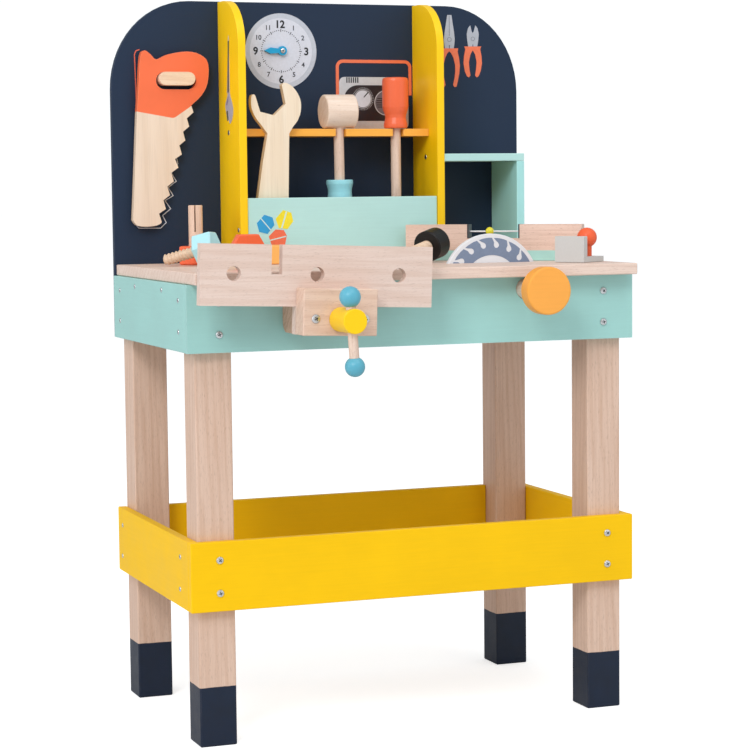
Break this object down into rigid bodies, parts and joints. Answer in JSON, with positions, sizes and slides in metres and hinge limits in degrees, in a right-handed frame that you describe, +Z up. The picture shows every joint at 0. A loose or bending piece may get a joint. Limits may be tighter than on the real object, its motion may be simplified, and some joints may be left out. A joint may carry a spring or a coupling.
{
  "type": "toy tool bench",
  "caption": "Child's wooden tool bench with open tray, screw vise, hand-turned saw disc, tool wall with clock hand and cubby, and loose toy tools and fixings.",
  "frame": {"origin": "centre of the bounding box footprint, on the floor", "axes": "+Z up, +X to the right and -Y towards the user as the bench is used from its front"},
  "size_m": [0.577, 0.488, 0.9],
  "materials": {
    "leg_front_left": "clear satin lacquer on pale beech",
    "leg_front_right": "clear satin lacquer on pale beech",
    "leg_rear_left": "clear satin lacquer on pale beech",
    "leg_rear_right": "clear satin lacquer on pale beech",
    "apron_front": "satin mint paint on board",
    "apron_left": "satin mint paint on board",
    "apron_right": "satin mint paint on board",
    "apron_bolt_left_lower": "zinc-plated steel",
    "apron_bolt_left_upper": "zinc-plated steel",
    "apron_bolt_right_lower": "zinc-plated steel",
    "apron_bolt_right_upper": "zinc-plated steel",
    "tray_rail_front": "satin yellow paint",
    "tray_rail_left": "satin yellow paint",
    "tray_rail_right": "satin yellow paint",
    "tray_rail_rear": "satin yellow paint",
    "tray_floor": "lacquered pale plywood",
    "worktop": "clear satin lacquer on pale beech",
    "back_panel": "satin navy paint on board",
    "fin_left": "satin yellow paint",
    "fin_right": "satin yellow paint",
    "tool_shelf": "satin amber paint",
    "pocket_front": "satin pale mint paint on board",
    "cubby_top": "satin pale mint paint on board",
    "cubby_side": "satin pale mint paint on board",
    "saw_peg": "clear satin lacquer on pale beech",
    "clock_pivot_screw": "zinc-plated steel",
    "vise_rear_block": "clear satin lacquer on pale beech",
    "clock_hand": "satin blue paint",
    "vise_jaw_board": "clear satin lacquer on pale beech",
    "vise_front_block": "clear satin lacquer on pale beech",
    "vise_block_screw_left": "zinc-plated steel",
    "vise_block_screw_right": "zinc-plated steel",
    "vise_screw": "clear satin lacquer on pale beech",
    "vise_hub": "satin yellow paint",
    "vise_handle_rod": "clear satin lacquer on pale beech",
    "vise_ball_top": "satin teal paint",
    "vise_ball_bottom": "satin teal paint",
    "saw_disc": "pale grey painted plywood with a printed tooth ring",
    "saw_shaft": "clear satin lacquer on pale beech",
    "saw_knob": "satin amber paint",
    "hand_saw": "lacquered pale plywood",
    "wrench": "lacquered pale plywood",
    "hammer_head": "clear satin lacquer on pale beech",
    "hammer_handle": "clear satin lacquer on pale beech",
    "hammer_grip": "satin pale blue paint",
    "screwdriver_handle": "satin coral red paint",
    "screwdriver_shaft": "clear satin lacquer on pale beech",
    "blue_bolt_head": "satin pale blue paint",
    "blue_bolt_shaft": "clear satin lacquer on pale beech",
    "black_bolt_head": "satin black paint",
    "black_bolt_shaft": "clear satin lacquer on pale beech",
    "red_bolt_head": "satin coral red paint",
    "red_bolt_shaft": "clear satin lacquer on pale beech",
    "red_nut": "satin coral red paint",
    "orange_nut": "satin amber paint",
    "level_body": "clear satin lacquer on pale beech",
    "level_rod": "white plastic rod",
    "level_bead": "yellow bead",
    "angle_bracket": "satin grey paint",
    "red_pin": "satin coral red paint"
  },
  "bodies": {
    "bench": {"leg_front_left": "leg_front_left", "leg_front_right": "leg_front_right", "leg_rear_left": "leg_rear_left", "leg_rear_right": "leg_rear_right", "apron_front": "apron_front", "apron_left": "apron_left", "apron_right": "apron_right", "apron_bolt_left_lower": "apron_bolt_left_lower", "apron_bolt_left_upper": "apron_bolt_left_upper", "apron_bolt_right_lower": "apron_bolt_right_lower", "apron_bolt_right_upper": "apron_bolt_right_upper", "tray_rail_front": "tray_rail_front", "tray_rail_left": "tray_rail_left", "tray_rail_right": "tray_rail_right", "tray_rail_rear": "tray_rail_rear", "tray_floor": "tray_floor", "worktop": "worktop", "back_panel": "back_panel", "fin_left": "fin_left", "fin_right": "fin_right", "tool_shelf": "tool_shelf", "pocket_front": "pocket_front", "cubby_top": "cubby_top", "cubby_side": "cubby_side", "saw_peg": "saw_peg", "clock_pivot_screw": "clock_pivot_screw", "vise_rear_block": "vise_rear_block"},
    "clock_hand": {"clock_hand": "clock_hand"},
    "vise_jaw": {"vise_jaw_board": "vise_jaw_board", "vise_front_block": "vise_front_block", "vise_block_screw_left": "vise_block_screw_left", "vise_block_screw_right": "vise_block_screw_right"},
    "vise_screw": {"vise_screw": "vise_screw", "vise_hub": "vise_hub"},
    "vise_bar": {"vise_handle_rod": "vise_handle_rod", "vise_ball_top": "vise_ball_top", "vise_ball_bottom": "vise_ball_bottom"},
    "saw_spindle": {"saw_disc": "saw_disc", "saw_shaft": "saw_shaft", "saw_knob": "saw_knob"},
    "hand_saw": {"hand_saw": "hand_saw"},
    "wrench": {"wrench": "wrench"},
    "hammer": {"hammer_head": "hammer_head", "hammer_handle": "hammer_handle", "hammer_grip": "hammer_grip"},
    "screwdriver": {"screwdriver_handle": "screwdriver_handle", "screwdriver_shaft": "screwdriver_shaft"},
    "blue_bolt": {"blue_bolt_head": "blue_bolt_head", "blue_bolt_shaft": "blue_bolt_shaft"},
    "black_bolt": {"black_bolt_head": "black_bolt_head", "black_bolt_shaft": "black_bolt_shaft"},
    "red_bolt": {"red_bolt_head": "red_bolt_head", "red_bolt_shaft": "red_bolt_shaft"},
    "red_nut": {"red_nut": "red_nut"},
    "orange_nut": {"orange_nut": "orange_nut"},
    "level": {"level_body": "level_body", "level_rod": "level_rod"},
    "level_bead": {"level_bead": "level_bead"},
    "bracket": {"angle_bracket": "angle_bracket"},
    "red_pin": {"red_pin": "red_pin"}
  },
  "joints": [
    {"name": "clock_hand_turn", "type": "hinge", "parent": "bench", "child": "clock_hand", "pos_m": [-0.05293, 0.235, 0.8372], "axis": [0, 1, 0], "continuous": true},
    {"name": "vise_screw_turn", "type": "hinge", "parent": "vise_jaw", "child": "vise_screw", "pos_m": [-0.12953, -0.1947, 0.507], "axis": [0, -1, 0], "range_deg": [0, 1080]},
    {"name": "vise_jaw_slide", "type": "slide", "parent": "bench", "child": "vise_jaw", "axis": [0, -1, 0], "range_m": [0, 0.036]},
    {"name": "vise_bar_slide", "type": "slide", "parent": "vise_screw", "child": "vise_bar", "axis": [-0.0628, 0, 0.998], "range_m": [0, 0.0255]},
    {"name": "saw_knob_turn", "type": "hinge", "parent": "bench", "child": "saw_spindle", "pos_m": [0.14317, -0.105, 0.5315], "axis": [0, 1, 0], "continuous": true},
    {"name": "hand_saw_off_peg", "type": "slide", "parent": "bench", "child": "hand_saw", "axis": [0, -1, 0], "range_m": [0, 0.022]},
    {"name": "wrench_lift", "type": "slide", "parent": "bench", "child": "wrench", "axis": [0, 0, 1], "range_m": [0, 0.1]},
    {"name": "hammer_tilt", "type": "hinge", "parent": "bench", "child": "hammer", "pos_m": [0.00837, 0.187, 0.575], "axis": [1, 0, 0], "range_deg": [0, 8.5]},
    {"name": "screwdriver_tilt", "type": "hinge", "parent": "bench", "child": "screwdriver", "pos_m": [0.08867, 0.187, 0.6], "axis": [1, 0, 0], "range_deg": [0, 12]},
    {"name": "blue_bolt_lift", "type": "slide", "parent": "bench", "child": "blue_bolt", "axis": [0, 0, 1], "range_m": [0, 0.08]},
    {"name": "black_bolt_lift", "type": "slide", "parent": "bench", "child": "black_bolt", "axis": [0, 0, 1], "range_m": [0, 0.08]},
    {"name": "red_bolt_lift", "type": "slide", "parent": "bench", "child": "red_bolt", "axis": [0, 0, 1], "range_m": [0, 0.06]},
    {"name": "red_nut_lift", "type": "slide", "parent": "bench", "child": "red_nut", "axis": [0, 0, 1], "range_m": [0, 0.06]},
    {"name": "orange_nut_lift", "type": "slide", "parent": "bench", "child": "orange_nut", "axis": [0, 0, 1], "range_m": [0, 0.06]},
    {"name": "level_lift", "type": "slide", "parent": "bench", "child": "level", "axis": [0, 0, 1], "range_m": [0, 0.06]},
    {"name": "level_bead_slide", "type": "slide", "parent": "level", "child": "level_bead", "axis": [0.7717, -0.636, 0], "range_m": [-0.02, 0.03]},
    {"name": "bracket_lift", "type": "slide", "parent": "bench", "child": "bracket", "axis": [0, 0, 1], "range_m": [0, 0.05]},
    {"name": "red_pin_lift", "type": "slide", "parent": "bracket", "child": "red_pin", "axis": [0, 0, 1], "range_m": [0, 0.04]}
  ],
  "couplings": [
    {"joint": "vise_jaw_slide", "follows": "vise_screw_turn", "m_per_rad": 0.0019099}
  ]
}
